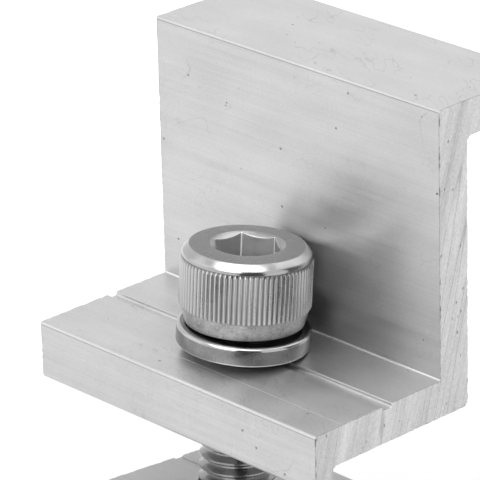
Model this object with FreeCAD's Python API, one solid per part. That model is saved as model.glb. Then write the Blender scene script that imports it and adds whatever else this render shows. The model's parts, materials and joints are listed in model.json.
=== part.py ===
import FreeCAD, Part
import math
import os

# Solar panel end clamp: an extruded Z bracket, a knurled socket head cap
# screw with a split spring washer, and the slide nut that it pulls up inside
# a mounting rail. Millimetres. X runs along the extrusion, +Y points at the
# panel and +Z up. The origin lies on the axis of the bracket's hole, in the
# plane of the lip's underside, which bears on the rail.

# Extruded bracket
LENGTH = 39.3
HOLE_OFF_MIDDLE = 0.2      # the saw cuts leave the hole this far off centre
FOOT_THICKNESS = 3.95
LIP_DROP = 2.3             # how far the lip reaches below the foot
LIP_THICKNESS = 2.35
FOOT_FRONT = 9.75          # from the hole's axis to the front face
WEB_THICKNESS = 3.9
PANEL_GRIP = 30.7          # from the rail to the underside of the top flange
TOP_THICKNESS = 3.75
TOP_REACH = 10.4           # how far the top flange reaches over the panel
EDGE_ROUND = 0.25          # outer edges along the extrusion
LIP_ROUND = 0.55
HEEL_ROUND = 0.8           # outer corner below the web
JAW_ROUND = 0.7            # inner corner under the top flange
LIP_INNER_ROUND = 0.5
CREASE_ROUND = 0.15        # inner corner between the foot and the web
GROOVE_WIDTH = 1.28        # drill guide line along the foot's top
GROOVE_FLOOR = 0.85        # its flat bottom
GROOVE_DEPTH = 0.28
GROOVE_ROUND = 0.1         # its two upper edges
HOLE_PLAY = 1.55           # hole diameter less thread diameter

# Cap screw
THREAD_D = 7.95
SCREW_LENGTH = 25.0        # from the underside of the head to the tip
TIP_CHAMFER = 0.9
HEAD_HEIGHT = 8.0
HEAD_SEAT_R = 6.02         # underside of the head
KNURL_R = 6.63             # over the crests
KNURL_DEPTH = 0.17
KNURL_TEETH = 80
KNURL_LENGTH = 5.1
KNURL_BEVEL = 0.16         # run-out of the crests at both ends
KNURL_CREST_SHARE = 0.3    # flat share of each tooth's pitch
SHOULDER_HEIGHT = 0.42     # plain ring between the knurl and the chamfer
SHOULDER_R = 6.5
HEAD_CHAMFER = 0.66
HEAD_EDGE_ROUND = 0.14
KEY_AF = 6.1               # across the flats of the key socket
KEY_DEPTH = 4.4
KEY_TURN = 26.0            # degrees from +X to a corner of the socket
KEY_MOUTH_R = 3.72         # countersink round the socket
KEY_MOUTH_SLOPE = 30.0     # countersink, in degrees
DRILL_POINT_SLOPE = 30.0   # conical floor of the socket, in degrees

# Stance of the screw: the head leans on the web
SCREW_LEAN = 5.0           # degrees from upright, towards the web
HEAD_CLEARANCE = 0.85      # from an upright head's crests to the web
HEAD_WEB_GAP = 0.08

# Split spring washer
WASHER_R = 6.75
WASHER_BORE_R = 4.3
WASHER_THICKNESS = 1.95
WASHER_LOWER_BEVEL = 0.2
WASHER_UPPER_BEVEL = 0.35
WASHER_TWIST = 0.08        # height between the two ends of the split
WASHER_TIP = 1.9           # degrees that it tips sideways under the head
WASHER_SLIP = (0.11, -0.17)    # it lies this far off the screw's line, in X and Y
SPLIT_AT = 115.0           # degrees from +X to the split
SPLIT_GAP = 0.8
SEAT_GAP = 0.015           # between the washer and what it touches

# Slide nut
NUT_LENGTH = 17.5
NUT_WIDTH = 19.5
NUT_THICKNESS = 6.5
NUT_BEVEL = 0.5            # long lower edges
NUT_EDGE_ROUND = 0.25
TIP_OUT = 1.03             # how far the screw's tip stands out below the nut
THREAD_PLAY = 0.04         # radial clearance in the nut's bore

# Places that follow from the sizes above
FOOT_TOP = LIP_DROP + FOOT_THICKNESS
TOP = PANEL_GRIP + TOP_THICKNESS
HOLE_TO_WEB = KNURL_R + HEAD_CLEARANCE
WEB_BACK = HOLE_TO_WEB + WEB_THICKNESS
GRIP = SCREW_LENGTH - NUT_THICKNESS - TIP_OUT
LEFT_END = HOLE_OFF_MIDDLE - LENGTH / 2
X_AXIS = FreeCAD.Vector(1, 0, 0)
Y_AXIS = FreeCAD.Vector(0, 1, 0)
Z_AXIS = FreeCAD.Vector(0, 0, 1)
ORIGIN = FreeCAD.Vector(0, 0, 0)


def rounded_outline(corners):
    """Closed wire of straight runs through (y, z, radius) corners."""
    count = len(corners)
    starts = []
    arcs = []
    ends = []
    for i in range(count):
        y, z, radius = corners[i]
        here = FreeCAD.Vector(0, y, z)
        before = FreeCAD.Vector(0, *corners[i - 1][:2]) - here
        after = FreeCAD.Vector(0, *corners[(i + 1) % count][:2]) - here
        half = before.getAngle(after) / 2
        if radius > 0:
            cut = min(radius / math.tan(half), before.Length / 2, after.Length / 2)
            radius = cut * math.tan(half)
            before.normalize()
            after.normalize()
            first = here + before * cut
            last = here + after * cut
            bisector = (before + after).normalize()
            middle = here + bisector * (radius / math.sin(half) - radius)
            arcs.append(Part.Arc(first, middle, last).toShape())
        else:
            first = here
            last = here
            arcs.append(None)
        starts.append(first)
        ends.append(last)
    edges = []
    for i in range(count):
        if arcs[i]:
            edges.append(arcs[i])
        edges.append(Part.makeLine(ends[i], starts[(i + 1) % count]))
    return Part.Wire(edges)


def extruded(corners, start, length):
    """Bar along X with the rounded section that the corners give."""
    face = Part.Face(rounded_outline(corners))
    face.translate(X_AXIS * start)
    return face.extrude(X_AXIS * length)


def groove_corners(height):
    """The four corners of the guide line along X, from front to back."""
    half = GROOVE_WIDTH / 2
    floor = GROOVE_FLOOR / 2
    low = height - GROOVE_DEPTH
    return [(-half, height, GROOVE_ROUND), (-floor, low, 0), (floor, low, 0), (half, height, GROOVE_ROUND)]


def turned(points):
    """Solid of revolution about Z through (radius, height) points."""
    ring = [FreeCAD.Vector(r, 0, z) for r, z in points]
    return Part.Face(Part.makePolygon(ring + ring[:1])).revolve(ORIGIN, Z_AXIS, 360)


def z_bracket():
    front = -FOOT_FRONT
    lip_back = front + LIP_THICKNESS
    top_back = WEB_BACK + TOP_REACH
    section = [
        (front, 0, LIP_ROUND),
        (lip_back, 0, LIP_ROUND),
        (lip_back, LIP_DROP, LIP_INNER_ROUND),
        (WEB_BACK, LIP_DROP, HEEL_ROUND),
        (WEB_BACK, PANEL_GRIP, JAW_ROUND),
        (top_back, PANEL_GRIP, EDGE_ROUND),
        (top_back, TOP, EDGE_ROUND),
        (HOLE_TO_WEB, TOP, EDGE_ROUND),
        (HOLE_TO_WEB, FOOT_TOP, CREASE_ROUND),
    ]
    section += reversed(groove_corners(FOOT_TOP))
    section.append((front, FOOT_TOP, EDGE_ROUND))
    bar = extruded(section, LEFT_END, LENGTH)
    hole_r = (THREAD_D + HOLE_PLAY) / 2
    return bar.cut(Part.makeCylinder(hole_r, FOOT_TOP * 2, ORIGIN))


def knurled_ring(bottom):
    """Straight knurl: toothed prism, with its crests run out at both ends."""
    root = KNURL_R - KNURL_DEPTH
    pitch = 2 * math.pi / KNURL_TEETH
    half_crest = pitch * KNURL_CREST_SHARE / 2
    tooth = [(-half_crest, KNURL_R), (half_crest, KNURL_R), (pitch / 2, root)]
    points = []
    for i in range(KNURL_TEETH):
        for offset, r in tooth:
            angle = i * pitch + offset
            points.append(FreeCAD.Vector(r * math.cos(angle), r * math.sin(angle), bottom))
    prism = Part.Face(Part.makePolygon(points + points[:1])).extrude(Z_AXIS * KNURL_LENGTH)
    top = bottom + KNURL_LENGTH
    envelope = turned([
        (0, bottom), (root, bottom), (KNURL_R, bottom + KNURL_BEVEL),
        (KNURL_R, top - KNURL_BEVEL), (root, top), (0, top),
    ])
    return prism.common(envelope)


def key_socket():
    """Tool that leaves the hexagon socket, its countersink and its floor."""
    corner_r = KEY_AF / 2 / math.cos(math.pi / 6)
    points = []
    for i in range(6):
        angle = math.radians(KEY_TURN + 60 * i)
        points.append(FreeCAD.Vector(corner_r * math.cos(angle), corner_r * math.sin(angle), 0))
    prism = Part.Face(Part.makePolygon(points + points[:1])).extrude(Z_AXIS * KEY_DEPTH)
    floor_r = KEY_AF / 2
    floor_z = HEAD_HEIGHT - KEY_DEPTH
    prism.translate(Z_AXIS * floor_z)
    mouth_depth = KEY_MOUTH_R * math.tan(math.radians(KEY_MOUTH_SLOPE))
    mouth = turned([(0, HEAD_HEIGHT - mouth_depth), (KEY_MOUTH_R, HEAD_HEIGHT), (0, HEAD_HEIGHT)])
    point_depth = floor_r * math.tan(math.radians(DRILL_POINT_SLOPE))
    point = turned([(0, floor_z - point_depth), (floor_r, floor_z), (0, floor_z)])
    return prism.fuse([mouth, point])


def knurl_bottom():
    return HEAD_HEIGHT - HEAD_CHAMFER - SHOULDER_HEIGHT - KNURL_LENGTH


def cap_screw():
    """Screw along Z with the underside of its head at the origin."""
    low = knurl_bottom()
    high = low + KNURL_LENGTH
    root = KNURL_R - KNURL_DEPTH
    core = root - KNURL_DEPTH
    shank_r = THREAD_D / 2
    body = turned([
        (0, -SCREW_LENGTH), (shank_r - TIP_CHAMFER, -SCREW_LENGTH),
        (shank_r, TIP_CHAMFER - SCREW_LENGTH), (shank_r, 0),
        (HEAD_SEAT_R - HEAD_EDGE_ROUND, 0), (HEAD_SEAT_R, HEAD_EDGE_ROUND),
        (root, low), (core, low), (core, high), (SHOULDER_R, high),
        (SHOULDER_R, high + SHOULDER_HEIGHT),
        (SHOULDER_R - HEAD_CHAMFER, HEAD_HEIGHT), (0, HEAD_HEIGHT),
    ])
    return body.fuse(knurled_ring(low)).cut(key_socket())


def washer_rise(angle):
    """Height of the washer's twist at an angle in degrees from +X."""
    past_split = (angle - SPLIT_AT) % 360
    return WASHER_TWIST * (0.5 - past_split / 360)


def washer_rim(radius, height):
    """Points round one edge of the washer, which stands at the origin."""
    points = []
    for angle in range(0, 360, 5):
        turn = math.radians(angle)
        x = radius * math.cos(turn)
        y = radius * math.sin(turn)
        points.append(FreeCAD.Vector(x, y, height + washer_rise(angle)))
    return points


def spring_washer():
    """Left-hand split ring about Z, with its lower face about z = 0."""
    half = (WASHER_R - WASHER_BORE_R) / 2
    middle_r = WASHER_BORE_R + half
    lost = math.degrees(SPLIT_GAP / middle_r)
    drop = WASHER_TWIST * (360 - lost) / 360
    path = Part.makeHelix(WASHER_TWIST, drop, middle_r, 0, True)
    low = WASHER_LOWER_BEVEL
    high = WASHER_UPPER_BEVEL
    outline = [
        (-half, low), (low - half, 0), (half - low, 0), (half, low),
        (half, WASHER_THICKNESS - high), (half - high, WASHER_THICKNESS),
        (high - half, WASHER_THICKNESS), (-half, WASHER_THICKNESS - high),
    ]
    ring = [FreeCAD.Vector(middle_r + r, 0, z) for r, z in outline]
    profile = Part.makePolygon(ring + ring[:1])
    solid = Part.Solid(Part.Wire(path.Edges).makePipeShell([profile], True, True))
    solid.translate(Z_AXIS * (-drop / 2))
    solid.rotate(ORIGIN, Z_AXIS, SPLIT_AT - lost / 2)
    return solid


def slide_nut():
    """Nut below the origin: its top lies at z = 0 and its bore along Z."""
    half = NUT_WIDTH / 2
    low = -NUT_THICKNESS
    section = [(-half, low, NUT_BEVEL), (half, low, NUT_BEVEL), (half, 0, NUT_EDGE_ROUND)]
    section += reversed(groove_corners(0))
    section.append((-half, 0, NUT_EDGE_ROUND))
    bar = extruded(section, -NUT_LENGTH / 2, NUT_LENGTH)
    bore_r = THREAD_D / 2 + THREAD_PLAY
    return bar.cut(Part.makeCylinder(bore_r, NUT_THICKNESS * 2, Z_AXIS * (-1.5 * NUT_THICKNESS)))


def seats(lean, stance):
    """How far up the screw's line the washer and the head's underside lie."""
    flat_r = WASHER_R - WASHER_LOWER_BEVEL
    lowest = min(lean.multVec(stance.multVec(p)).z for p in washer_rim(flat_r, 0))
    washer_seat = (SEAT_GAP - lowest) / math.cos(math.radians(SCREW_LEAN))
    pressed_r = min(HEAD_SEAT_R + math.hypot(*WASHER_SLIP), WASHER_R - WASHER_UPPER_BEVEL)
    highest = max(stance.multVec(p).z for p in washer_rim(pressed_r, WASHER_THICKNESS))
    return washer_seat, washer_seat + highest + SEAT_GAP


def screw_line(lean, head_seat):
    """Where the screw's line meets the foot's top, with the head on the web."""
    angle = math.radians(SCREW_LEAN)
    crest = head_seat + knurl_bottom() + KNURL_LENGTH - KNURL_BEVEL
    reach = KNURL_R * math.cos(angle) + crest * math.sin(angle)
    return FreeCAD.Placement(FreeCAD.Vector(0, HOLE_TO_WEB - HEAD_WEB_GAP - reach, FOOT_TOP), lean)


def placed(shape, line, along, stance=FreeCAD.Placement()):
    """The shape moved to a place along the screw's line."""
    shape.Placement = line * FreeCAD.Placement(Z_AXIS * along, FreeCAD.Rotation()) * stance * shape.Placement
    return shape


def main():
    os.makedirs("parts", exist_ok=True)
    lean = FreeCAD.Rotation(X_AXIS, -SCREW_LEAN)
    stance = FreeCAD.Placement(FreeCAD.Vector(*WASHER_SLIP, 0), FreeCAD.Rotation(Y_AXIS, WASHER_TIP))
    washer_seat, head_seat = seats(lean, stance)
    line = screw_line(lean, head_seat)
    nodes = {
        "z_bracket": z_bracket(),
        "cap_screw": placed(cap_screw(), line, head_seat),
        "spring_washer": placed(spring_washer(), line, washer_seat, stance),
        "slide_nut": placed(slide_nut(), line, head_seat - GRIP),
    }
    print("screw line", line.Base, "washer seat", washer_seat, "head seat", head_seat)
    for name, shape in nodes.items():
        print(name, shape.ShapeType, len(shape.Solids), shape.isValid(), round(shape.Volume, 1))
        shape.exportStep("parts/" + name + ".step")


main()
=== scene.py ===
"""Finished look of a solar panel end clamp: an extruded Z bracket, its knurled socket head
cap screw with a split spring washer, and the slide nut below."""

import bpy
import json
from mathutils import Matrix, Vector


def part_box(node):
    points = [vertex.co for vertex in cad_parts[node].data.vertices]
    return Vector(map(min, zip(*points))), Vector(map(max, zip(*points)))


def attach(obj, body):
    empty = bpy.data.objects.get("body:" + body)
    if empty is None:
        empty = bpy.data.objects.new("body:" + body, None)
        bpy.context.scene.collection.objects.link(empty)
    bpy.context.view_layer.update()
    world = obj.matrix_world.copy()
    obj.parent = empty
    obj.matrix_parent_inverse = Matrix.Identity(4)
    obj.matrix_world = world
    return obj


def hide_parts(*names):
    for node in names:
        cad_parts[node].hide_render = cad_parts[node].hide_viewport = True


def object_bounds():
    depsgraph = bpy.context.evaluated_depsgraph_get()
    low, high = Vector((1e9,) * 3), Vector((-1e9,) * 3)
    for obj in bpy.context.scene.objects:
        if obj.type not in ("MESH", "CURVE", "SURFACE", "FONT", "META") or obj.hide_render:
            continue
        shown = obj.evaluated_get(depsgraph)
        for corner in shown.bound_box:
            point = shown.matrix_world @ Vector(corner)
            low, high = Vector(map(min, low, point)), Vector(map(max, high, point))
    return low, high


bl_info = {
    "name": "Solar Panel End Clamp",
    "version": (1, 0, 0),
    "blender": (4, 5, 0),
    "location": "View3D > Sidebar > End Clamp",
    "description": "Builds the finished bracket, screw, washer and slide nut of a panel end clamp",
    "category": "Add Mesh",
}

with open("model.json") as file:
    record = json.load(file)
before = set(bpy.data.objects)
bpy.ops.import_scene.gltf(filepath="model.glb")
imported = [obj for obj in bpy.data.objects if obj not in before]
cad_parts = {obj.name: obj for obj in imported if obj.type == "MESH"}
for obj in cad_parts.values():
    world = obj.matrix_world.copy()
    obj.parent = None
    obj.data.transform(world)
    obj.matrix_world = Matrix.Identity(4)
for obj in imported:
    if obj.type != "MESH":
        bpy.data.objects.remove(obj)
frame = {"record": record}

from functools import partialmethod
import json
import math
import random

import bmesh
import bpy
from bpy.props import FloatProperty, FloatVectorProperty, IntProperty, PointerProperty
from mathutils import Matrix, Vector

MM = 0.001
CAD_LOW, CAD_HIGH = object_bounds()
BRACKET_LOW, BRACKET_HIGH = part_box("z_bracket")
JOINTS = {joint["name"]: joint for joint in frame["record"]["behaviour"]["joints"]}
HEAD_SEAT = Vector(JOINTS["screw_turn"]["pos_m"])
SCREW_UP = -Vector(JOINTS["screw_turn"]["axis"])

# How fine the outlines of the extrusions are
ARC_STEPS = 6
OUTLINE_STEP = 0.35 * MM

# Order of the finishes on the bracket (the nut has the first three), the screw's head and the washer
MILL, SAWN, NICKED, CREASE, SHADED_DIE_LINE, TOP, EDGE, FOOT = range(8)
FACE, RIM, SOCKET, BAND, CORNER_HIGHLIGHT = range(5)
SIDE, BEVEL, UNDERSIDE = range(3)


def mm(name, description, value):
    """Length property whose default is given in millimetres."""
    return FloatProperty(name=name, description=description, default=value * MM, unit="LENGTH", precision=5)


def angle(name, description, value):
    """Angle property whose default is given in degrees."""
    return FloatProperty(name=name, description=description, default=math.radians(value), unit="ROTATION")


def number(name, description, value):
    """Property for a plain number."""
    return FloatProperty(name=name, description=description, default=value)


def vector(name, description, value):
    """Property for a place or an offset, in metres."""
    return FloatVectorProperty(name=name, description=description, default=value, size=len(value),
                               subtype="XYZ", unit="LENGTH")


def grey(name, description, value):
    """Colour property whose default is a neutral grey."""
    return FloatVectorProperty(name=name, description=description, default=(value, value, value),
                               subtype="COLOR", size=3, min=0, max=1)


class BracketSizes(bpy.types.PropertyGroup):
    """Section of the extruded bracket"""
    foot_thickness: mm("Foot thickness", "Thickness of the lower flange", 3.95)
    lip_drop: mm("Lip drop", "How far the lip reaches below the foot", 2.3)
    lip_thickness: mm("Lip thickness", "Thickness of the lip on the rail", 2.35)
    web_thickness: mm("Web thickness", "Thickness of the upright web", 3.9)
    hole_to_web: mm("Hole to web", "From the hole's axis to the web", 7.48)
    top_thickness: mm("Top thickness", "Thickness of the upper flange", 3.75)
    hole_radius: mm("Hole radius", "Radius of the screw's hole", 4.75)
    edge_round: mm("Edge rounding", "Rounding of the outer edges", 0.25)
    lip_round: mm("Lip rounding", "Rounding under the lip", 0.55)
    lip_inner_round: mm("Lip inner rounding", "Rounding between the lip and the foot", 0.5)
    heel_round: mm("Heel rounding", "Outer rounding below the web", 0.8)
    jaw_round: mm("Jaw rounding", "Inner rounding under the top flange", 0.7)
    crease_round: mm("Crease rounding", "Rounding between the foot and the web", 0.16)
    groove_width: mm("Groove width", "Width of the guide line", 1.28)
    groove_floor: mm("Groove floor", "Width of the guide line's bottom", 0.85)
    groove_depth: mm("Groove depth", "Depth of the guide line", 0.42)
    groove_round: mm("Groove rounding", "Rounding of the guide line's upper edges", 0.1)
    die_line: mm("Die line", "Width of the die's lines on the front", 0.07)
    die_line_drop: mm("Die line drop", "How far these lines lie below the edges", 0.3)
    foot_line: mm("Foot die line", "Width of the die's finer line on the foot", 0.04)
    foot_line_at: mm("Foot die line place", "Where that line lies, from the hole", -6.0)
    saw_wear: mm("Sawn edge wear", "Width of the ragged sawn edges", 0.12)


class ScrewSizes(bpy.types.PropertyGroup):
    """Sizes of the cap screw"""
    thread_radius: mm("Thread radius", "Radius over the thread's crests", 3.97)
    root_radius: mm("Root radius", "Radius at the thread's roots", 3.27)
    pitch: mm("Pitch", "Rise of the thread in one turn", 1.25)
    screw_length: mm("Length", "From the head's underside to the tip", 25.0)
    tip_chamfer: mm("Tip chamfer", "Chamfer of the screw's tip", 0.9)
    head_height: mm("Head height", "Height of the head", 8.0)
    seat_radius: mm("Seat radius", "Radius of the head's underside", 6.02)
    knurl_radius: mm("Knurl radius", "Radius over the knurl's crests", 6.63)
    knurl_depth: mm("Knurl depth", "Depth of the knurl", 0.16)
    knurl_length: mm("Knurl length", "Length of the knurled band", 5.1)
    knurl_teeth: IntProperty(name="Knurl teeth", description="Number of teeth round the head",
                             default=80, min=3)
    shoulder_radius: mm("Shoulder radius", "Radius of the ring above the knurl", 6.5)
    shoulder_height: mm("Shoulder height", "Height of the ring above the knurl", 0.42)
    shoulder_round: mm("Shoulder rounding", "Rounding above that ring", 0.6)
    head_chamfer: mm("Head chamfer", "Chamfer round the head's top", 0.66)
    key_flats: mm("Key size", "Across the socket's flats", 6.1)
    key_depth: mm("Key depth", "Depth of the socket's flats", 4.4)
    key_turn: angle("Key turn", "Direction of one socket corner", 26.0)
    key_off: vector("Key offset", "How far off the middle the socket lies", (-0.0002, 0.00025))
    mouth_radius: mm("Mouth radius", "Radius of the socket's countersink", 3.72)
    mouth_slope: angle("Mouth slope", "Slope of the countersink", 30.0)
    floor_slope: angle("Floor slope", "Slope of the socket's conical floor", 30.0)


class WasherSizes(bpy.types.PropertyGroup):
    """Sizes of the split spring washer"""
    outer_radius: mm("Outer radius", "Outer radius of the washer", 6.75)
    bore_radius: mm("Bore radius", "Inner radius of the washer", 4.3)
    thickness: mm("Thickness", "Thickness of the washer", 1.95)
    below_head: mm("Below the head", "From the head's underside to the washer's lower face", 2.196)
    slip: vector("Slip", "How far the washer lies off the screw's line", (0.00011, -0.00017))
    tip: angle("Tip", "Sideways tip of the washer", 1.9)
    twist: mm("Twist", "Height between the split's ends", 0.08)
    split_at: angle("Split direction", "Direction of the split", 115.0)
    split_gap: mm("Split gap", "Gap of the split", 0.8)
    split_slant: angle("Split slant", "Slant of the split's ends", 25.0)
    upper_bevel: mm("Upper bevel", "Bevel of the upper edges", 0.35)
    lower_bevel: mm("Lower bevel", "Bevel of the lower edges", 0.2)


class NutSizes(bpy.types.PropertyGroup):
    """Sizes of the slide nut"""
    nut_length: mm("Length", "Length along the guide line", 17.5)
    nut_width: mm("Width", "Width across the guide line", 19.5)
    nut_thickness: mm("Thickness", "Thickness of the nut", 6.5)
    grip: mm("Grip", "From the head's underside down to the nut's top", 17.47)
    bore_radius: mm("Bore radius", "Radius of the nut's bore", 4.015)
    groove_depth: mm("Groove depth", "Depth of the nut's guide line", 0.2)
    edge_round: mm("Edge rounding", "Rounding of the upper edges", 0.25)
    lower_bevel: mm("Lower rounding", "Rounding of the lower edges", 0.5)


class Finishes(bpy.types.PropertyGroup):
    """Colours of the metals"""
    aluminium: grey("Aluminium", "Mill finish of the bracket", 0.59)
    top: grey("Handled aluminium", "Scuffed top of the bracket", 0.615)
    foot: grey("Foot aluminium", "Duller upper face of the foot", 0.585)
    # Painted highlight: much paler, less metallic aluminium along the crease between foot and web.
    crease_highlight: grey("Crease highlight aluminium", "Paler crease between foot and web, a painted highlight", 0.74)
    edge: grey("Edge aluminium", "Edges that catch the light", 0.61)
    # Darker aluminium on the die's V lines below the front edges: a real die line, its darkness painted
    # shade.
    shaded_die_line: grey("Shaded die line", "Darker die lines below the edges, painted shade", 0.38)
    sawn: grey("Sawn aluminium", "Saw-cut ends of the bracket", 0.58)
    nicked: grey("Nicked edge", "Burred edge round the saw cuts", 0.45)
    nut: grey("Nut aluminium", "Mill finish of the slide nut", 0.46)
    steel: grey("Polished steel", "Bright steel of the head's chamfers", 0.46)
    satin: grey("Satin steel", "Fine-grained steel of the head's top", 0.295)
    turned: grey("Turned steel", "Steel of the ring below the knurl", 0.44)
    socket: grey("Socket steel", "Punched steel inside the key socket", 0.45)
    # Painted highlight: much paler steel on the key socket's corners.
    corner: grey("Socket corner steel", "Bright corners of the key socket", 0.9)
    rolled: grey("Rolled steel", "Steel of the knurl", 0.6)
    thread: grey("Thread steel", "Steel of the screw's thread", 0.32)
    washer: grey("Washer steel", "Fine-grained steel of the washer's side", 0.26)
    washer_rim: grey("Washer rim steel", "Bright steel of the washer's bevels", 0.5)
    # Painted shade: near-black steel under the washer, which darkens the contact shadow the foot reflects.
    underside_shade: grey("Washer seat steel", "Near-black steel under the washer, painted shade", 0.1)


class StageSettings(bpy.types.PropertyGroup):
    """Camera, floor and light"""
    camera_place: vector("Camera", "Place of the camera", (0.260721, -0.246215, 0.169773))
    camera_aim: vector("Aim", "Point in the middle of the view", (-0.004415, 0.004063, 0.015241))
    camera_roll: angle("Roll", "Roll of the camera about its view", -1.54)
    camera_lens: number("Lens", "Focal length in millimetres", 297.16)
    floor_drop: mm("Floor drop", "How far the floor lies below the clamp", 25.0)
    floor_size: mm("Floor size", "Side of the square floor", 4000.0)
    floor_grey: number("Floor grey", "How pale the floor is", 0.62)
    glow_least: number("Least floor glow", "White added under the overhead light", 0.05)
    glow_most: number("Floor glow", "White added where that light is thin", 0.64)
    glow_start: mm("Glow start", "How far from that light the glow starts", 200.0)
    glow_end: mm("Glow end", "How far from that light the glow is full", 550.0)
    card_distance: mm("Card distance", "From the clamp to the dark card", 100.0)
    card_left: mm("Card left", "Reach to the camera's left, at its foot", 31.45)
    card_top_left: mm("Card top left", "Reach to the camera's left, at its top", 11.1)
    card_right: mm("Card right", "Reach to the camera's right", 55.5)
    card_low: mm("Card underside", "Height of the card's lower edge", -38.0)
    card_top: mm("Card top", "Height of the card's upper edge", 108.0)
    card_grey: number("Card grey", "How pale the card is", 0.14)
    overhead_place: vector("Overhead light", "Place of the overhead softbox", (0.13, -0.225, 0.344))
    overhead_size: mm("Overhead size", "Side of the overhead softbox", 550.0)
    overhead_radiance: number("Overhead radiance", "Brightness of the overhead softbox", 2.4)
    left_place: vector("Left light", "Place of the left softbox", (-0.3, -0.26, 0.2))
    left_size: mm("Left size", "Side of the left softbox", 350.0)
    left_radiance: number("Left radiance", "Brightness of the left softbox", 0.35)
    world_strength: number("Surround", "Strength of the surround on matt surfaces", 0.8)


def mesh_from(name, points, faces, indices=()):
    """New mesh; indices gives each face's material."""
    mesh = bpy.data.meshes.new(name)
    mesh.from_pydata(points, [], faces)
    for face, index in zip(mesh.polygons, indices):
        face.material_index = index
    mesh.validate()
    return mesh


def object_from(name, mesh):
    """New object in the scene's collection."""
    piece = bpy.data.objects.new(name, mesh)
    bpy.context.collection.objects.link(piece)
    return piece


def tube_faces(rings, count):
    """Faces of a closed tube through rings of points, with its two ends last."""
    faces = []
    for k in range(rings - 1):
        for i in range(count):
            j = (i + 1) % count
            faces.append((k * count + i, k * count + j, (k + 1) * count + j, (k + 1) * count + i))
    faces.append(tuple(reversed(range(count))))
    faces.append(tuple(range((rings - 1) * count, rings * count)))
    return faces


def set_modifiers(piece):
    """Turns what the modifiers make into the piece's plain mesh."""
    graph = bpy.context.evaluated_depsgraph_get()
    mesh = bpy.data.meshes.new_from_object(piece.evaluated_get(graph))
    if not mesh.polygons:
        raise RuntimeError(piece.name + " came out empty")
    piece.modifiers.clear()
    piece.data = mesh


def merge(mesh, distance):
    """Joins the points that coincide, at seams and poles."""
    work = bmesh.new()
    work.from_mesh(mesh)
    bmesh.ops.remove_doubles(work, verts=work.verts, dist=distance)
    bmesh.ops.dissolve_degenerate(work, edges=work.edges, dist=distance)
    work.to_mesh(mesh)
    work.free()


def finish_piece(piece, sharp_degrees, body, node):
    """Smooths a piece, sharp past an angle, hangs it on its body and hides the CAD node it stands for."""
    piece.data.shade_smooth()
    piece.data.set_sharp_from_angle(angle=math.radians(sharp_degrees))
    weighted = piece.modifiers.new("weighted normals", "WEIGHTED_NORMAL")
    weighted.keep_sharp = True
    weighted.weight = 60
    set_modifiers(piece)
    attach(piece, body)
    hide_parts(node)


def give_materials(piece, *materials):
    for material in materials:
        piece.data.materials.append(material)


def screw_frame(along=0.0, tip=0.0, slip=(0.0, 0.0)):
    """Matrix of a place on the screw's leaning line, measured up from the head's underside."""
    across = Vector((1, 0, 0))
    turned = Matrix((across, SCREW_UP.cross(across), SCREW_UP)).transposed().to_4x4()
    turned.translation = HEAD_SEAT
    return turned @ Matrix.Translation((*slip, along)) @ Matrix.Rotation(tip, 4, "Y")


def turned_between(first, last, share):
    """Vector turned from the first towards the last by a share of their angle."""
    turn = first.angle_signed(last)
    cosine, sine = math.cos(-turn * share), math.sin(-turn * share)
    return Vector((first.x * cosine - first.y * sine, first.x * sine + first.y * cosine))


def rounded_outline(corners):
    """Points of a closed (y, z) outline whose corners carry a radius each."""
    points = []
    for i, (y, z, radius) in enumerate(corners):
        here = Vector((y, z))
        if radius <= 0:
            points.append(here)
            continue
        before = Vector(corners[i - 1][:2]) - here
        after = Vector(corners[(i + 1) % len(corners)][:2]) - here
        half = before.angle(after) / 2
        before.normalize()
        after.normalize()
        centre = here + (before + after).normalized() * (radius / math.sin(half))
        first = here + before * (radius / math.tan(half)) - centre
        last = here + after * (radius / math.tan(half)) - centre
        points += [centre + turned_between(first, last, step / ARC_STEPS) for step in range(ARC_STEPS + 1)]
    return points


def divided(points):
    """Adds points on the long straight runs of a closed outline."""
    dense = []
    for i, here in enumerate(points):
        after = points[(i + 1) % len(points)]
        count = max(1, round((after - here).length / OUTLINE_STEP))
        dense += [here.lerp(after, k / count) for k in range(count)]
    return dense


def inset_by(points, depths):
    """Outline moved inwards, each point by its own depth."""
    moved = []
    for i, here in enumerate(points):
        run = (points[(i + 1) % len(points)] - points[i - 1]).normalized()
        moved.append(here + Vector((-run.y, run.x)) * depths[i])
    return moved


def sawn_bar(name, corners, start, end, wear, seed):
    """Bar along X whose sawn ends have ragged edges, the far end's more so."""
    chance = random.Random(seed)
    outline = divided(rounded_outline(corners))
    rings = []
    for x, inner_x, share in ((start, start + wear, 0.45), (end, end - wear, 1.0)):
        ragged = [wear * share * (0.1 + 1.3 * chance.random() ** 4) for _ in outline]
        worn = [(x, p.x, p.y) for p in inset_by(outline, ragged)]
        full = [(inner_x + (x - inner_x) * chance.uniform(0.0, 0.5), p.x, p.y) for p in outline]
        rings.append((worn, full))
    order = [rings[0][0], rings[0][1], rings[1][1], rings[1][0]]
    points = [point for ring in order for point in ring]
    count = len(outline)
    indices = [NICKED] * count + [MILL] * count + [NICKED] * count + [SAWN] * 2
    return mesh_from(name, points, tube_faces(len(order), count), indices)


def cut_round(piece, radius, low, high):
    """Cuts a round hole along Z through the piece."""
    steps = 96
    turns = [2 * math.pi * i / steps for i in range(steps)]
    points = [(radius * math.cos(turn), radius * math.sin(turn), z) for z in (low, high) for turn in turns]
    cutter = object_from("cutter", mesh_from("cutter", points, tube_faces(2, steps)))
    cut = piece.modifiers.new("hole", "BOOLEAN")
    cut.operation = "DIFFERENCE"
    cut.solver = "EXACT"
    cut.object = cutter
    set_modifiers(piece)
    bpy.data.objects.remove(cutter)


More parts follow.
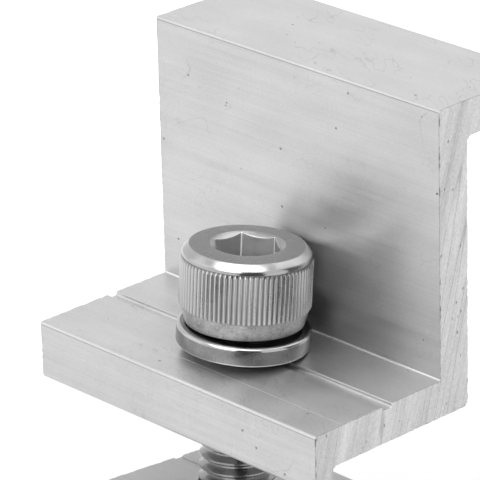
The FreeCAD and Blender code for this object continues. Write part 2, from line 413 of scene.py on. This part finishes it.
class Nodes:
    """Short way to add linked nodes to a tree."""

    def __init__(self, tree):
        self.tree = tree

    def add(self, kind, inputs=None, **settings):
        node = self.tree.nodes.new(kind)
        for key, value in settings.items():
            setattr(node, key, value)
        self.feed(node, inputs or {})
        return node

    def feed(self, node, inputs):
        """Links the sockets given to a node's inputs, and sets the plain values."""
        for key, value in inputs.items():
            if isinstance(value, bpy.types.NodeSocket):
                self.tree.links.new(value, node.inputs[key])
            else:
                node.inputs[key].default_value = value

    def math(self, operation, first, second=0.0, clamp=False):
        node = self.add("ShaderNodeMath", {0: first, 1: second}, operation=operation, use_clamp=clamp)
        return node.outputs[0]

    plus = partialmethod(math, "ADD")
    minus = partialmethod(math, "SUBTRACT")
    times = partialmethod(math, "MULTIPLY")


class Shader(Nodes):
    """Material under construction."""

    def __init__(self, name):
        self.material = bpy.data.materials.new(name)
        self.material.use_nodes = True
        super().__init__(self.material.node_tree)
        self.surface = self.tree.nodes["Principled BSDF"]
        self.place = self.add("ShaderNodeTexCoord").outputs["Object"]

    def stretched(self, scale, turn):
        """Object coordinates turned, then multiplied by cells per metre."""
        turned = self.add("ShaderNodeMapping", {"Vector": self.place, "Rotation": turn}, vector_type="POINT")
        return self.add("ShaderNodeMapping", {"Vector": turned.outputs[0], "Scale": scale}).outputs[0]

    def noise(self, scale, detail=2.0, roughness=0.5, turn=(0, 0, 0)):
        return self.add("ShaderNodeTexNoise", {
            "Vector": self.stretched(scale, turn), "Scale": 1.0,
            "Detail": detail, "Roughness": roughness}).outputs["Fac"]

    def ramp(self, value, low, high, from_value=0.0, to_value=1.0):
        return self.add("ShaderNodeMapRange", {
            "Value": value, "From Min": low, "From Max": high,
            "To Min": from_value, "To Max": to_value}).outputs[0]

    def spots(self, scale, size, share, turn=(0, 0, 0)):
        """1 inside a random share of small spots, 0 elsewhere."""
        inputs = {"Vector": self.stretched(scale, turn), "Scale": 1.0}
        cells = self.add("ShaderNodeTexVoronoi", inputs).outputs
        value = self.add("ShaderNodeSeparateColor", {"Color": cells["Color"]}).outputs[0]
        inside = self.ramp(cells["Distance"], size, size * 0.5)
        return self.times(inside, self.math("LESS_THAN", value, share))

    def hairlines(self, scale, width, share, turn):
        """1 on a few thin curved lines, 0 elsewhere."""
        field = self.noise(scale, 1.0, turn=turn)
        line = self.ramp(self.math("ABSOLUTE", self.minus(field, 0.5)), width, width * 0.3)
        patch = self.noise((190, 190, 190), 1.0, turn=turn)
        return self.times(line, self.ramp(patch, 1 - share, 1.04 - share))

    def layered(self, *layers):
        """1 plus each layer's swing about 0.5, times its amount."""
        total = 1.0
        for layer, amount in layers:
            total = self.plus(self.times(self.minus(layer, 0.5), 2 * amount), total)
        return total

    def less(self, value, mask, amount):
        """The value lowered by an amount where the mask is 1."""
        return self.times(value, self.minus(1.0, self.times(mask, amount)))

    def bump(self, height, depth, normal=None):
        """Surface relief: a height from 0 to 1, and its depth in metres."""
        inputs = {"Height": height, "Distance": depth, "Strength": 1.0}
        if normal is not None:
            inputs["Normal"] = normal
        return self.add("ShaderNodeBump", inputs).outputs[0]

    def brushed_along_x(self, amount):
        """Stretches the reflections across lines that run along the piece's own X."""
        along = self.add("ShaderNodeVectorTransform", {"Vector": (1, 0, 0)}, vector_type="VECTOR",
                         convert_from="OBJECT", convert_to="WORLD").outputs[0]
        self.feed(self.surface, {"Tangent": along, "Anisotropic": amount, "Anisotropic Rotation": 0.25})

    def finish(self, rgb, light, roughness, normal, metallic=1.0):
        """The finished material; light varies its colour over the surface."""
        tint = self.add("ShaderNodeVectorMath", {0: (*rgb,), 1: light}, operation="MULTIPLY").outputs[0]
        self.feed(self.surface, {"Base Color": tint, "Roughness": roughness, "Metallic": metallic,
                                 "Normal": normal})
        return self.material


def mill_finish(name, rgb, roughness=0.35, relief_share=1.0, metallic=0.97, streaks=1.0, scuffs=0.7,
                brushed=0.65):
    """Extruded aluminium: die lines along X, grain, soft patches, pits, scrapes and a few scratches."""
    shader = Shader(name)
    lines = shader.noise((60, 6000, 6000), 2.0)
    bands = shader.noise((18, 1000, 1000), 3.0, 0.6)
    grain = shader.noise((3200, 5200, 5200), 3.0, 0.7)
    patches = shader.noise((130, 230, 230), 3.0, 0.55)
    pits = shader.spots((520, 620, 620), 0.1, 0.22)
    flecks = shader.spots((700, 700, 700), 0.08, 0.12, (0.5, 0.2, 0.9))
    scratches = shader.hairlines((110, 190, 190), 0.0035, 0.4, (0.4, 0.7, 0.3))
    scrapes = shader.hairlines((100, 800, 800), 0.02, 0.45, (0.2, 0.3, 0.6))
    light = shader.layered((lines, 0.09 * streaks), (bands, 0.08 * streaks), (grain, 0.12), (patches, 0.12))
    for mask, amount in ((scratches, 0.14), (pits, 0.6), (flecks, -0.2), (scrapes, 0.1 * scuffs)):
        light = shader.less(light, mask, amount)
    relief = shader.bump(shader.plus(lines, bands), 0.000008 * relief_share * streaks)
    relief = shader.bump(grain, 0.000004 * relief_share, relief)
    relief = shader.bump(shader.minus(1.0, pits), 0.00003 * relief_share, relief)
    rough = shader.ramp(shader.plus(patches, bands), 0.6, 1.4, roughness - 0.04, roughness + 0.05)
    shader.brushed_along_x(brushed)
    return shader.finish(rgb, light, rough, relief, metallic)


def sawn_finish(name, rgb):
    """Saw-cut aluminium: slanting streaks like wood grain, with a few dark lines and nicks."""
    shader = Shader(name)
    slant = (math.radians(15), 0, 0)
    fine = shader.noise((50, 5200, 260), 3.0, 0.6, slant)
    streaks = shader.noise((50, 1100, 90), 3.0, 0.6, slant)
    bands = shader.noise((50, 380, 30), 1.0, turn=slant)
    grain = shader.noise((4200, 4200, 4200), 2.0)
    dark = shader.noise((50, 540, 16), 0.0, turn=slant)
    dark = shader.ramp(shader.math("ABSOLUTE", shader.minus(dark, 0.53)), 0.014, 0.004)
    nicks = shader.spots((300, 1500, 800), 0.2, 0.1, slant)
    light = shader.layered((fine, 0.12), (streaks, 0.22), (bands, 0.22), (grain, 0.22))
    light = shader.less(shader.less(light, dark, 0.24), nicks, 0.5)
    relief = shader.bump(shader.plus(fine, streaks), 0.00002)
    relief = shader.bump(shader.minus(1.0, nicks), 0.00003, relief)
    return shader.finish(rgb, light, 0.45, relief)


def steel_finish(name, rgb, roughness, grain, metallic=1.0, hollow_shade=0.0):
    """Bright steel with a fine grain, soft clouds and faint marks, and painted shade where the mesh marks
    its hollows.
    """
    shader = Shader(name)
    grit = shader.noise((6500, 6500, 4200), 3.0, 0.7)
    clouds = shader.noise((700, 700, 700), 3.0, 0.6)
    marks = shader.hairlines((500, 500, 700), 0.008, 0.4, (0.3, 0.9, 0.5))
    light = shader.layered((grit, grain), (clouds, grain * 0.8), (marks, 0.06))
    # Painted shade: the colour darkens where the knurl's hollow attribute is high, as shade falls in its
    # valleys.
    if hollow_shade:
        hollow = shader.add("ShaderNodeAttribute", attribute_name="hollow").outputs["Fac"]
        light = shader.less(light, hollow, hollow_shade)
    rough = shader.ramp(clouds, 0.3, 0.7, roughness * 0.75, roughness * 1.3)
    relief = shader.bump(grit, 0.00004 * grain)
    relief = shader.bump(clouds, 0.00001, relief)
    return shader.finish(rgb, light, rough, relief, metallic)


def bracket_finishes(colours):
    """The bracket's finishes, in the order of MILL to FOOT."""
    return (mill_finish("mill aluminium", colours.aluminium),
            sawn_finish("sawn aluminium", colours.sawn),
            sawn_finish("nicked aluminium", colours.nicked),
            mill_finish("burnished aluminium", colours.crease_highlight, 0.22, 0.15, 0.75),
            mill_finish("die mark", colours.shaded_die_line),
            mill_finish("handled aluminium", colours.top, streaks=0.45, scuffs=1.6, brushed=0.2),
            mill_finish("edge aluminium", colours.edge, 0.3, 0.5),
            mill_finish("foot aluminium", colours.foot, 0.385, metallic=0.9, streaks=0.6, scuffs=1.2,
                        brushed=0.8))


def groove_corners(height, sizes, depth):
    """The guide line's four corners, from back to front."""
    half, floor, low = sizes.groove_width / 2, sizes.groove_floor / 2, height - depth
    bend = sizes.groove_round
    return [(half, height, bend), (half - bend / 2, low, bend * 2.4),
            (-floor, low, bend), (-half, height, bend)]


def die_line(y, z, run, width):
    """Corners of a fine V line in a face of the outline, which runs on in the given direction."""
    middle, run = Vector((y, z)), Vector(run)
    inward = Vector((-run.y, run.x))
    places = (middle - run * width / 2, middle + inward * width / 2, middle + run * width / 2)
    return [(*corner, 0) for corner in places]


def bracket_corners(sizes, foot_top):
    """Corners of the bracket's section, each (y, z, radius), from the lip's front edge round."""
    front, rail = BRACKET_LOW.y, BRACKET_LOW.z
    back, top = BRACKET_HIGH.y, BRACKET_HIGH.z
    lip_back = front + sizes.lip_thickness
    foot_low = rail + sizes.lip_drop
    web, web_back = sizes.hole_to_web, sizes.hole_to_web + sizes.web_thickness
    top_low, edge = top - sizes.top_thickness, sizes.edge_round
    corners = [
        (front, rail, sizes.lip_round), (lip_back, rail, sizes.lip_round),
        (lip_back, foot_low, sizes.lip_inner_round), (web_back, foot_low, sizes.heel_round),
        (web_back, top_low, sizes.jaw_round), (back, top_low, edge), (back, top, edge), (web, top, edge),
    ]
    corners += die_line(web, top - sizes.die_line_drop, (0, -1), sizes.die_line)
    corners.append((web, foot_top, sizes.crease_round))
    corners += groove_corners(foot_top, sizes, sizes.groove_depth)
    corners += die_line(sizes.foot_line_at, foot_top, (-1, 0), sizes.foot_line)
    corners.append((front, foot_top, edge))
    corners += die_line(front, foot_top - sizes.die_line_drop, (0, -1), sizes.die_line)
    return corners


def sort_faces(mesh, sizes, foot_top):
    """Gives the bracket's level faces, crease, front edges and die lines their own finishes; the crease's
    finish carries a painted highlight and the die lines' a painted shade.
    """
    crease = Vector((sizes.hole_to_web, foot_top))
    edges = (Vector((BRACKET_LOW.y, foot_top)), Vector((sizes.hole_to_web, BRACKET_HIGH.z)))
    drop = Vector((0, sizes.die_line_drop))
    for face in mesh.polygons:
        if face.material_index != MILL:
            continue
        middle = face.center.yz
        if face.normal.z > 0.99:
            face.material_index = TOP if face.center.z > foot_top + MM else FOOT
        # The crease gets the pale aluminium: a painted highlight.
        elif (middle - crease).length < sizes.crease_round:
            face.material_index = CREASE
        elif min((middle - edge).length for edge in edges) < sizes.edge_round and face.normal.z > 0.1:
            face.material_index = EDGE
        # The V lines below the front edges get the darker aluminium: painted shade on a real die line.
        elif min((middle - edge + drop).length for edge in edges) < sizes.die_line:
            face.material_index = SHADED_DIE_LINE


class CLAMP_OT_bracket(bpy.types.Operator):
    """Build the extruded Z bracket with its sawn ends and hole"""
    bl_idname = "clamp.bracket"
    bl_label = "Z Bracket"

    def execute(self, context):
        sizes = context.scene.clamp_bracket
        foot_top = BRACKET_LOW.z + sizes.lip_drop + sizes.foot_thickness
        corners = bracket_corners(sizes, foot_top)
        mesh = sawn_bar("bracket", corners, BRACKET_LOW.x, BRACKET_HIGH.x, sizes.saw_wear, seed=3)
        sort_faces(mesh, sizes, foot_top)
        piece = object_from("bracket", mesh)
        give_materials(piece, *bracket_finishes(context.scene.clamp_finishes))
        cut_round(piece, sizes.hole_radius, BRACKET_LOW.z - MM, foot_top + MM)
        finish_piece(piece, 28, "bracket", "z_bracket")
        return {"FINISHED"}


def arc_points(centre, radius, start, end, steps):
    """Points of an arc in (radius, height), angles in degrees."""
    points = []
    for k in range(steps + 1):
        turn = math.radians(start + (end - start) * k / steps)
        points.append((centre[0] + radius * math.cos(turn), centre[1] + radius * math.sin(turn)))
    return points


def knurl_span(sizes):
    """Heights between which the knurl stands, above the head's underside."""
    high = sizes.head_height - sizes.head_chamfer - sizes.shoulder_height
    return high - sizes.knurl_length, high


def head_outline(sizes):
    """The head's (radius, height) outline: up to the knurl, above it, and on the top face."""
    low, high = knurl_span(sizes)
    root = sizes.knurl_radius - sizes.knurl_depth
    under = root - 0.03 * MM
    top, shoulder, seat = sizes.head_height, sizes.shoulder_radius, sizes.seat_radius
    soft = 0.14 * MM
    band = [(0, 0), (3 * MM, 0)]
    band += arc_points((seat - soft, soft), soft, -90, -10, 4)
    band += [(seat + 0.1 * MM, 0.5 * MM), (root - 0.04 * MM, low - 0.05 * MM), (under, low)]
    rim = [(under, high), (shoulder - 0.04 * MM, high + 0.03 * MM)]
    rim += arc_points((shoulder - 0.05 * MM, high + 0.08 * MM), 0.05 * MM, -40, 0, 2)
    soft = sizes.shoulder_round
    edge = top - sizes.head_chamfer
    rim += arc_points((shoulder - soft, edge - soft * (math.sqrt(2) - 1)), soft, 0, 45, 8)
    soft = 0.16 * MM
    rim += arc_points((shoulder - sizes.head_chamfer - 0.07 * MM, top - soft), soft, 45, 90, 4)
    return band, rim, [(5 * MM, top), (4.3 * MM, top)]


def socket_outline(sizes, direction):
    """(radius, height) outline of the key socket in one direction: its countersink, then the rest."""
    top, mouth, flats = sizes.head_height, sizes.mouth_radius, sizes.key_flats
    past_corner = (direction - sizes.key_turn) % (math.pi / 3)
    side = min(0.985 * flats / math.sqrt(3), flats / 2 / math.cos(past_corner - math.pi / 6))
    edge = top - (mouth - side) * math.tan(sizes.mouth_slope)
    floor = top - sizes.key_depth
    floor_drop = flats / 2 * math.tan(sizes.floor_slope)
    countersink = [
        (mouth + 0.06 * MM, top), (mouth, top - 0.015 * MM), ((mouth + side) / 2, (top + edge) / 2),
        (side + 0.04 * MM, edge + 0.02 * MM),
    ]
    socket = [
        (side, edge - 0.03 * MM), (side, (edge + floor) / 2), (side, floor),
        (flats / 2 - 0.05 * MM, floor), (flats / 4, floor - floor_drop / 2), (0, floor - floor_drop),
    ]
    return countersink, socket


def head_mesh(sizes):
    """Head with its key socket, in columns of points from the underside to the socket's floor."""
    band, rim, face = head_outline(sizes)
    off_x, off_y = sizes.key_off
    side_columns = 60
    columns = 6 * side_columns
    points = []
    for i in range(columns):
        direction = sizes.key_turn + 2 * math.pi * i / columns
        cosine, sine = math.cos(direction), math.sin(direction)
        countersink, socket = socket_outline(sizes, direction)
        points += [(r * cosine, r * sine, z) for r, z in band + rim + face]
        points += [(r * cosine + off_x, r * sine + off_y, z) for r, z in countersink + socket]
    finishes = [BAND] * (len(band) - 1) + [RIM] * len(rim) + [FACE] * (len(face) + 1)
    finishes += [RIM] * (len(countersink) - 1) + [SOCKET] * len(socket)
    rows = len(finishes) + 1
    faces = []
    indices = []
    for i in range(columns):
        j = (i + 1) % columns
        # Socket faces beside each corner get much paler steel: a painted highlight.
        beside_corner = (i + 1) % side_columns < 2
        for k, finish in enumerate(finishes):
            faces.append((i * rows + k, j * rows + k, j * rows + k + 1, i * rows + k + 1))
            indices.append(CORNER_HIGHLIGHT if finish == SOCKET and beside_corner else finish)
    mesh = mesh_from("screw head", points, faces, indices)
    merge(mesh, 0.002 * MM)
    return mesh


def tooth_mesh(sizes):
    """One rounded tooth of the knurl, along Z in the direction of +X, with its hollows marked for painted
    shade.
    """
    low, high = knurl_span(sizes)
    root = sizes.knurl_radius - sizes.knurl_depth
    pitch = 2 * math.pi * sizes.knurl_radius / sizes.knurl_teeth
    sunk = root - 0.06 * MM
    section = [(k / 10, 0.5 + 0.5 * math.cos(math.pi * k / 5)) for k in range(-5, 6)]
    foot, head = 0.16 * MM, 0.4 * MM
    rows = [(low, 0.0), (low + foot * 0.5, 0.7), (low + foot, 1.0), (high - head, 1.0),
            (high - head * 0.5, 0.66), (high, 0.0)]
    points = []
    for z, share in rows:
        points += [(root + sizes.knurl_depth * rise * share, across * pitch, z) for across, rise in section]
        points += [(sunk, 0.5 * pitch, z), (sunk, -0.5 * pitch, z)]
    mesh = mesh_from("knurl", points, tube_faces(len(rows), len(section) + 2))
    hollow = mesh.attributes.new("hollow", "FLOAT", "POINT")
    for point, value in zip(mesh.vertices, hollow.data):
        rise = (point.co.x - root) / sizes.knurl_depth
        value.value = (1 - rise) ** 2 if point.co.x > root - 0.01 * MM else 1.0
    return mesh


def new_tree(name, **sockets):
    """Geometry tree with named inputs of the given kinds and one geometry output."""
    tree = bpy.data.node_groups.new(name, "GeometryNodeTree")
    for label, kind in sockets.items():
        tree.interface.new_socket(name=label, in_out="INPUT", socket_type="NodeSocket" + kind)
    tree.interface.new_socket(name="Geometry", in_out="OUTPUT", socket_type="NodeSocketGeometry")
    nodes = Nodes(tree)
    return nodes, nodes.add("NodeGroupInput").outputs


def end_tree(nodes, geometry, material):
    """Realizes what the tree made and sets its material."""
    real = nodes.add("GeometryNodeRealizeInstances", {"Geometry": geometry}).outputs[0]
    painted = nodes.add("GeometryNodeSetMaterial", {"Geometry": real, "Material": material}).outputs[0]
    nodes.add("NodeGroupOutput", {"Geometry": painted})


def run_tree(piece, nodes, **values):
    """Runs a tree on a piece with its named inputs set, and keeps the plain mesh."""
    modifier = piece.modifiers.new(nodes.tree.name, "NODES")
    modifier.node_group = nodes.tree
    for item in nodes.tree.interface.items_tree:
        if item.in_out == "INPUT" and item.name in values:
            modifier[item.identifier] = values[item.name]
    set_modifiers(piece)


def ring_tree():
    """Repeats the given geometry round Z."""
    nodes, given = new_tree("repeat round", Geometry="Geometry", Count="Int", Material="Material")
    points = nodes.add("GeometryNodeMeshLine", {"Count": given["Count"], "Offset": (0, 0, 0)}).outputs[0]
    index = nodes.add("GeometryNodeInputIndex").outputs[0]
    turn = nodes.times(nodes.math("DIVIDE", index, given["Count"]), 2 * math.pi)
    turn = nodes.add("ShaderNodeCombineXYZ", {"Z": turn}).outputs[0]
    copies = nodes.add("GeometryNodeInstanceOnPoints", {
        "Points": points, "Instance": given["Geometry"], "Rotation": turn}).outputs[0]
    end_tree(nodes, copies, given["Material"])
    return nodes


def thread_tree():
    """Screw thread down from the origin along Z, closed at both ends."""
    nodes, given = new_tree("screw thread", Geometry="Geometry", Pitch="Float", Crest="Float", Root="Float",
                            Length="Float", Chamfer="Float", Inside="Float", Columns="Int", Steps="Int",
                            Material="Material")
    maths, plus, minus, times = nodes.math, nodes.plus, nodes.minus, nodes.times
    pitch = given["Pitch"]

    # A grid whose columns go once round the screw and whose rows climb its turns
    turns = plus(maths("CEIL", maths("DIVIDE", plus(given["Length"], given["Inside"]), pitch)), 4.0)
    rows = plus(times(turns, given["Steps"]), 1.0)
    grid = nodes.add("GeometryNodeMeshGrid", {
        "Size X": 1.0, "Size Y": 1.0, "Vertices X": plus(given["Columns"], 1.0), "Vertices Y": rows})
    spot = nodes.add("ShaderNodeSeparateXYZ", {0: nodes.add("GeometryNodeInputPosition").outputs[0]}).outputs
    share = plus(spot["X"], 0.5)
    row_turn = times(plus(spot["Y"], 0.5), turns)

    # Radius of the V thread, at most the tip's cone
    wave = maths("ABSOLUTE", minus(times(maths("FRACT", plus(row_turn, 0.0001)), 2.0), 1.0))
    flank = nodes.add("ShaderNodeMapRange", {
        "Value": wave, "From Min": 0.2, "From Max": 0.86,
        "To Min": given["Root"], "To Max": given["Crest"]}).outputs[0]
    bottom = times(minus(given["Length"], times(pitch, -3.0)), -1.0)
    height = plus(bottom, times(pitch, plus(row_turn, share)))
    above_tip = plus(height, given["Length"])
    cone = plus(minus(given["Crest"], given["Chamfer"]), maths("MAXIMUM", above_tip, 0.0))
    radius = maths("MINIMUM", flank, cone)

    # Past its two ends the thread shrinks to a point, which closes them
    tip_share = plus(maths("DIVIDE", above_tip, pitch), 1.0, clamp=True)
    past_top = maths("DIVIDE", minus(height, given["Inside"]), times(pitch, 0.5))
    radius = times(radius, times(tip_share, minus(1.0, past_top, clamp=True)))
    above = maths("MAXIMUM", height, times(given["Length"], -1.0))
    turn = times(share, 2 * math.pi)
    position = nodes.add("ShaderNodeCombineXYZ", {
        "X": times(radius, maths("COSINE", turn)), "Y": times(radius, maths("SINE", turn)),
        "Z": maths("MINIMUM", above, given["Inside"])}).outputs[0]
    moved = nodes.add("GeometryNodeSetPosition", {
        "Geometry": grid.outputs["Mesh"], "Position": position}).outputs[0]
    closed = nodes.add("GeometryNodeMergeByDistance", {"Geometry": moved, "Distance": 0.002 * MM}).outputs[0]
    end_tree(nodes, closed, given["Material"])
    return nodes


class CLAMP_OT_screw(bpy.types.Operator):
    """Build the cap screw: its head, its knurl and its thread"""
    bl_idname = "clamp.screw"
    bl_label = "Cap Screw"

    def execute(self, context):
        sizes = context.scene.clamp_screw
        colours = context.scene.clamp_finishes
        head = object_from("screw_head", head_mesh(sizes))
        give_materials(head, steel_finish("satin steel", colours.satin, 0.24, 0.3),
                       steel_finish("polished steel", colours.steel, 0.19, 0.1),
                       steel_finish("punched steel", colours.socket, 0.45, 0.14, 0.78),
                       steel_finish("turned steel", colours.turned, 0.4, 0.75),
                       steel_finish("broached corner", colours.corner, 0.5, 0.1, 0.4))
        knurl = object_from("screw_knurl", tooth_mesh(sizes))
        # The knurl's steel is painted darker in its hollows: painted shade.
        rolled = steel_finish("rolled steel", colours.rolled, 0.3, 0.1, hollow_shade=0.6)
        run_tree(knurl, ring_tree(), Count=sizes.knurl_teeth, Material=rolled)
        thread = object_from("screw_thread", bpy.data.meshes.new("thread"))
        threaded = steel_finish("threaded steel", colours.thread, 0.14, 0.1)
        run_tree(thread, thread_tree(), Pitch=sizes.pitch, Crest=sizes.thread_radius, Root=sizes.root_radius,
                 Length=sizes.screw_length, Chamfer=sizes.tip_chamfer, Inside=0.6 * MM, Columns=96, Steps=14,
                 Material=threaded)
        for piece, sharp in ((head, 30), (knurl, 40), (thread, 35)):
            piece.data.transform(screw_frame())
            finish_piece(piece, sharp, "screw", "cap_screw")
        return {"FINISHED"}


def washer_section(sizes):
    """Closed (radius, height) section of the washer, from below, and the finish of each of its sides."""
    low, high, top = sizes.lower_bevel, sizes.upper_bevel, sizes.thickness
    inner, outer = sizes.bore_radius, sizes.outer_radius
    section = []
    finishes = []
    for centre, bevel, start, steps, next_side in (
            ((outer - low, low), low, -90, 4, SIDE), ((outer - high, top - high), high, 0, 5, SIDE),
            ((inner + high, top - high), high, 90, 4, SIDE), ((inner + low, low), low, 180, 4, UNDERSIDE)):
        section += arc_points(centre, bevel, start, start + 90, steps)
        finishes += [BEVEL] * steps + [next_side]
    return section, finishes


def washer_mesh(sizes):
    """Split ring about Z, whose ends slant and stand a twist apart."""
    section, finishes = washer_section(sizes)
    middle = (sizes.outer_radius + sizes.bore_radius) / 2
    gap = sizes.split_gap / middle
    steps = 180
    points = []
    for k in range(steps + 1):
        share = k / steps
        rise = sizes.twist * (0.5 - share)
        fade = abs(2 * share - 1) ** 8
        for r, z in section:
            lean = math.tan(sizes.split_slant) * (z - sizes.thickness / 2) / middle
            direction = sizes.split_at + gap / 2 + (2 * math.pi - gap) * share + lean * fade
            points.append((r * math.cos(direction), r * math.sin(direction), z + rise))
    faces = [face[::-1] for face in tube_faces(steps + 1, len(section))]
    return mesh_from("washer", points, faces, finishes * steps + [SIDE, SIDE])


class CLAMP_OT_washer(bpy.types.Operator):
    """Build the split spring washer"""
    bl_idname = "clamp.washer"
    bl_label = "Spring Washer"

    def execute(self, context):
        sizes = context.scene.clamp_washer
        colours = context.scene.clamp_finishes
        piece = object_from("washer", washer_mesh(sizes))
        piece.data.transform(screw_frame(-sizes.below_head, sizes.tip, sizes.slip))
        # The underside's near-black steel is painted shade, which darkens what the foot reflects under the
        # washer.
        give_materials(piece, steel_finish("satin washer", colours.washer, 0.22, 0.3),
                       steel_finish("polished washer", colours.washer_rim, 0.1, 0.06),
                       steel_finish("washer underside", colours.underside_shade, 0.4, 0.3))
        finish_piece(piece, 40, "washer", "spring_washer")
        return {"FINISHED"}


class CLAMP_OT_nut(bpy.types.Operator):
    """Build the slide nut"""
    bl_idname = "clamp.nut"
    bl_label = "Slide Nut"

    def execute(self, context):
        sizes = context.scene.clamp_nut
        groove = context.scene.clamp_bracket
        colours = context.scene.clamp_finishes
        half, low = sizes.nut_width / 2, -sizes.nut_thickness
        corners = [(-half, low, sizes.lower_bevel), (half, low, sizes.lower_bevel),
                   (half, 0, sizes.edge_round)]
        corners += groove_corners(0, groove, sizes.groove_depth)
        corners.append((-half, 0, sizes.edge_round))
        end = sizes.nut_length / 2
        piece = object_from("nut", sawn_bar("nut", corners, -end, end, groove.saw_wear, seed=8))
        give_materials(piece, mill_finish("nut aluminium", colours.nut, metallic=0.88),
                       sawn_finish("sawn nut", colours.nut), sawn_finish("nicked nut", colours.nicked))
        cut_round(piece, sizes.bore_radius, low - MM, MM)
        piece.data.transform(screw_frame(-sizes.grip))
        finish_piece(piece, 28, "nut", "slide_nut")
        return {"FINISHED"}


def in_view(nodes):
    """1 for what is seen, straight or in metal and glass, and 0 for light that falls on matt surfaces."""
    rays = nodes.add("ShaderNodeLightPath").outputs
    mirrored = nodes.math("MAXIMUM", rays["Is Glossy Ray"], rays["Is Transmission Ray"])
    return nodes.math("MAXIMUM", rays["Is Camera Ray"], mirrored)


def pale_world(strength):
    """Even pale surround, pure white to the camera and in reflections."""
    world = bpy.data.worlds.new("surround")
    world.use_nodes = True
    nodes = Nodes(world.node_tree)
    nodes.feed(world.node_tree.nodes["Background"], {
        "Color": (1, 1, 1, 1), "Strength": nodes.math("MAXIMUM", in_view(nodes), strength)})
    bpy.context.scene.world = world


def matt_grey(name, value):
    """Shader of a matt grey for the stage."""
    shader = Shader(name)
    shader.feed(shader.surface, {
        "Base Color": (value, value, value, 1), "Roughness": 1.0, "Specular IOR Level": 0.0})
    return shader


def paper_material(settings):
    """Matt pale paper that stays white in view where the overhead light thins out."""
    shader = matt_grey("white paper", settings.floor_grey)
    places = {0: shader.place, 1: (*settings.overhead_place[:2], 0)}
    away = shader.add("ShaderNodeVectorMath", places, operation="DISTANCE").outputs["Value"]
    glow = shader.ramp(away, settings.glow_start, settings.glow_end, settings.glow_least, settings.glow_most)
    shader.feed(shader.surface, {
        "Emission Color": (1, 1, 1, 1), "Emission Strength": shader.times(in_view(shader), glow)})
    return shader.material


def make_floor(settings):
    """Level paper floor below the clamp."""
    half = settings.floor_size / 2
    corners = [(-half, -half, 0), (half, -half, 0), (half, half, 0), (-half, half, 0)]
    floor = object_from("floor", mesh_from("floor", corners, [(0, 1, 2, 3)]))
    floor.location.z = CAD_LOW.z - settings.floor_drop
    give_materials(floor, paper_material(settings))


def make_card(settings):
    """Upright dark card towards the camera, which only reflections see."""
    toward = Vector((*settings.camera_place[:2], 0)).normalized()
    aside = toward.cross(Vector((0, 0, 1)))
    foot = toward * settings.card_distance
    low, top = settings.card_low, settings.card_top
    corners = [foot - aside * settings.card_right, foot + aside * settings.card_left,
               foot + aside * settings.card_top_left, foot - aside * settings.card_right]
    points = [(*corner.xy, z) for corner, z in zip(corners, (low, low, top, top))]
    card = object_from("dark_card", mesh_from("dark card", points, [(0, 1, 2, 3)]))
    give_materials(card, matt_grey("dark felt", settings.card_grey).material)
    card.visible_camera = card.visible_diffuse = card.visible_shadow = False


def make_softbox(name, position, size, radiance):
    """Square area light that faces the clamp."""
    light = bpy.data.lights.new(name, "AREA")
    light.shape = "SQUARE"
    light.size = size
    light.energy = radiance * math.pi * size ** 2
    lamp = object_from(name, light)
    lamp.location = position
    lamp.rotation_euler = (-Vector(position)).to_track_quat("-Z", "Y").to_euler()


def make_camera(settings):
    """Camera at the photograph's viewing angle."""
    camera = bpy.data.cameras.new("camera")
    camera.lens = settings.camera_lens
    camera.clip_start = 0.01
    camera.clip_end = 20
    viewer = object_from("camera", camera)
    forward = Vector(settings.camera_aim) - Vector(settings.camera_place)
    upright = forward.to_track_quat("-Z", "Y").to_matrix().to_4x4()
    roll = Matrix.Rotation(settings.camera_roll, 4, "Z")
    viewer.matrix_world = Matrix.Translation(settings.camera_place) @ upright @ roll
    bpy.context.scene.camera = viewer


class CLAMP_OT_stage(bpy.types.Operator):
    """Set up the floor, the dark card, the light and the camera"""
    bl_idname = "clamp.stage"
    bl_label = "Stage"

    def execute(self, context):
        settings = context.scene.clamp_stage
        context.scene.view_settings.view_transform = "Standard"
        make_floor(settings)
        make_card(settings)
        pale_world(settings.world_strength)
        make_softbox("overhead", settings.overhead_place, settings.overhead_size, settings.overhead_radiance)
        make_softbox("left", settings.left_place, settings.left_size, settings.left_radiance)
        make_camera(settings)
        return {"FINISHED"}


OPERATORS = (CLAMP_OT_bracket, CLAMP_OT_screw, CLAMP_OT_washer, CLAMP_OT_nut, CLAMP_OT_stage)
SETTINGS = {
    "clamp_bracket": BracketSizes,
    "clamp_screw": ScrewSizes,
    "clamp_washer": WasherSizes,
    "clamp_nut": NutSizes,
    "clamp_finishes": Finishes,
    "clamp_stage": StageSettings,
}


class CLAMP_PT_panel(bpy.types.Panel):
    """Sizes and builders of the end clamp"""
    bl_idname = "CLAMP_PT_panel"
    bl_label = "End Clamp"
    bl_space_type = "VIEW_3D"
    bl_region_type = "UI"
    bl_category = "End Clamp"

    def draw(self, context):
        for operator in OPERATORS:
            self.layout.operator(operator.bl_idname)
        for name in SETTINGS:
            group = getattr(context.scene, name)
            box = self.layout.box()
            box.label(text=group.__doc__)
            for key in group.__annotations__:
                box.prop(group, key)


def register():
    for name, group in SETTINGS.items():
        bpy.utils.register_class(group)
        setattr(bpy.types.Scene, name, PointerProperty(type=group))
    for operator in OPERATORS:
        bpy.utils.register_class(operator)
    bpy.utils.register_class(CLAMP_PT_panel)


def unregister():
    bpy.utils.unregister_class(CLAMP_PT_panel)
    for operator in reversed(OPERATORS):
        bpy.utils.unregister_class(operator)
    for name, group in SETTINGS.items():
        delattr(bpy.types.Scene, name)
        bpy.utils.unregister_class(group)


def main():
    """Registers the classes and builds every piece and the stage."""
    register()
    bpy.ops.clamp.bracket()
    bpy.ops.clamp.screw()
    bpy.ops.clamp.washer()
    bpy.ops.clamp.nut()
    bpy.ops.clamp.stage()


if __name__ == "__main__":
    main()
